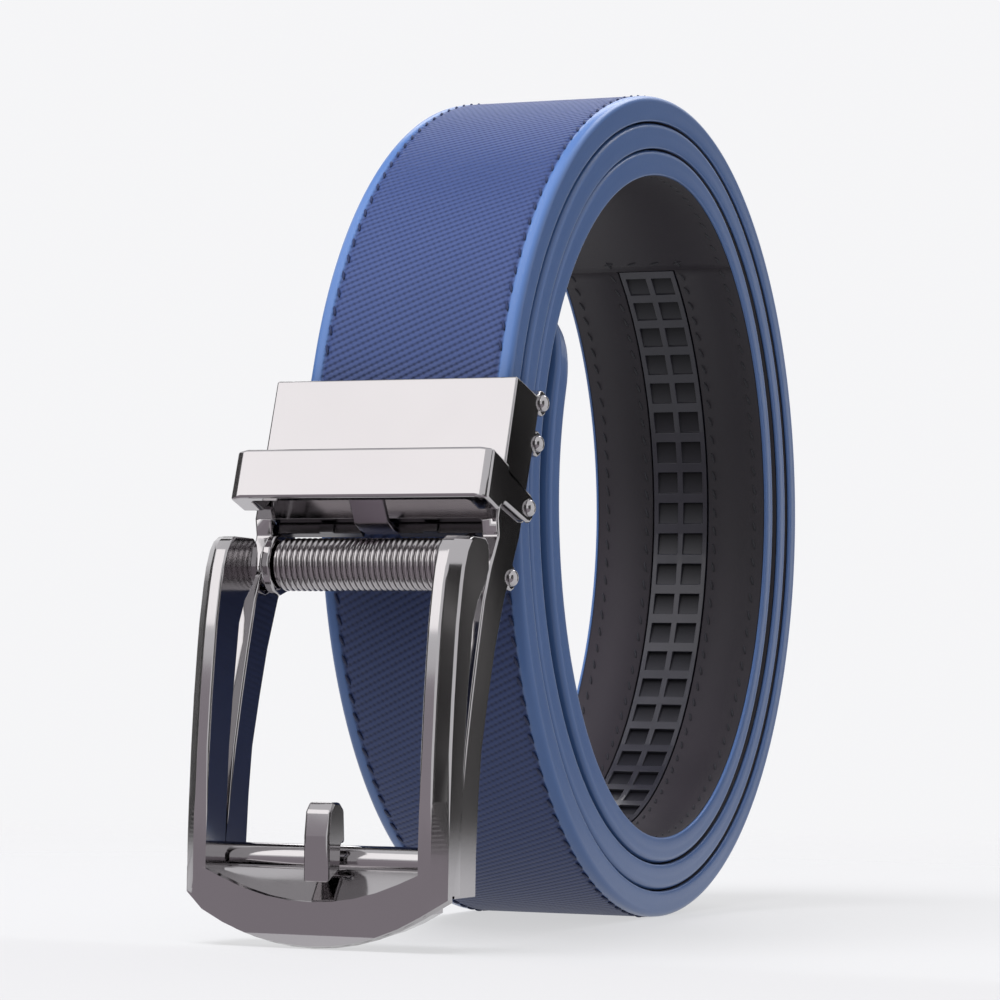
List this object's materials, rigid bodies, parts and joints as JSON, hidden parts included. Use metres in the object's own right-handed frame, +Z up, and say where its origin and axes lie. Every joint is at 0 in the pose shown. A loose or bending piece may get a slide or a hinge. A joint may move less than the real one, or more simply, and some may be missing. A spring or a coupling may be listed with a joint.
{
  "type": "ratchet belt",
  "caption": "Rolled-up leather ratchet belt with an open frame buckle, ribbed roller and release lever hanging at the front of the coil.",
  "frame": {"origin": "on the floor, under the middle of the coil and of the strap's width", "axes": "X across the strap's width, -Y towards the buckle, +Z up"},
  "size_m": [0.0456, 0.1862, 0.1447],
  "materials": {
    "strap_leather": "mid blue leather with an embossed diagonal grain and smooth painted edges",
    "strap_lining": "smooth charcoal lining",
    "track_plastic": "black with a low sheen",
    "buckle_metal": "polished gunmetal plating"
  },
  "bodies": {
    "belt": {"strap": "strap_leather", "strap_lining": "strap_lining", "ratchet_track": "track_plastic", "buckle_body": "buckle_metal", "clamp_jaw": "buckle_metal", "clamp_base_plate": "buckle_metal", "lever_pin": "buckle_metal", "pawl": "buckle_metal", "roller_pin": "buckle_metal", "rivet_upper_left": "buckle_metal", "rivet_upper_right": "buckle_metal", "rivet_middle_left": "buckle_metal", "rivet_middle_right": "buckle_metal", "rivet_lower_left": "buckle_metal", "rivet_lower_right": "buckle_metal", "prong_tip": "buckle_metal"},
    "lever": {"release_lever": "buckle_metal"},
    "roller": {"roller": "buckle_metal"}
  },
  "joints": [
    {"name": "lever_press", "type": "hinge", "parent": "belt", "child": "lever", "pos_m": [0, -0.07899, 0.06769], "axis": [1, 0, 0], "range_deg": [0, 6], "stiffness_Nm_per_rad": 0.05, "springref_deg": -5.73},
    {"name": "roller_spin", "type": "hinge", "parent": "belt", "child": "roller", "pos_m": [0, -0.0896, 0.05839], "axis": [1, 0, 0], "continuous": true}
  ]
}
